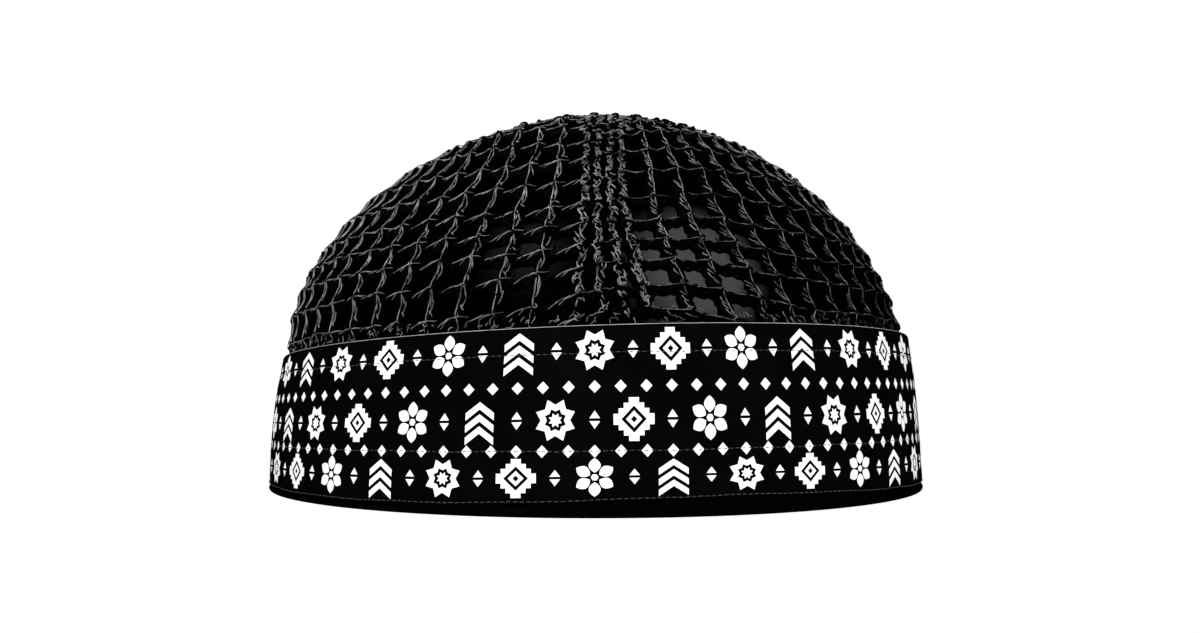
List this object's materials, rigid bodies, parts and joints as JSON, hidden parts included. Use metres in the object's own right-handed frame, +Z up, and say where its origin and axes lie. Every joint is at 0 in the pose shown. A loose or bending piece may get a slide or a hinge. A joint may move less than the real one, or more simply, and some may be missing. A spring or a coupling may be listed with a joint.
{
  "type": "kufi",
  "caption": "Round brimless cap: an open crocheted net crown over a smooth thin lining, on an upright printed cotton band with a plain turned lower edge.",
  "frame": {"origin": "middle of the rim, on the plane that the hat rests on", "axes": "+Z up through the crown, -Y out of the front of the hat, +X to the right in a front view"},
  "size_m": [0.1899, 0.19, 0.111],
  "materials": {
    "printed_cotton": "matt black woven cotton with a white print",
    "plain_cotton": "matt black woven cotton",
    "crochet_yarn": "black twisted crochet yarn with a faint sheen",
    "lining_satin": "smooth black lining cloth with a soft sheen"
  },
  "bodies": {
    "root": {"band": "printed_cotton", "band_facing": "plain_cotton", "crown_net": "crochet_yarn", "crown_rosette": "crochet_yarn", "lining_wall": "lining_satin", "lining_top": "lining_satin"}
  },
  "joints": []
}
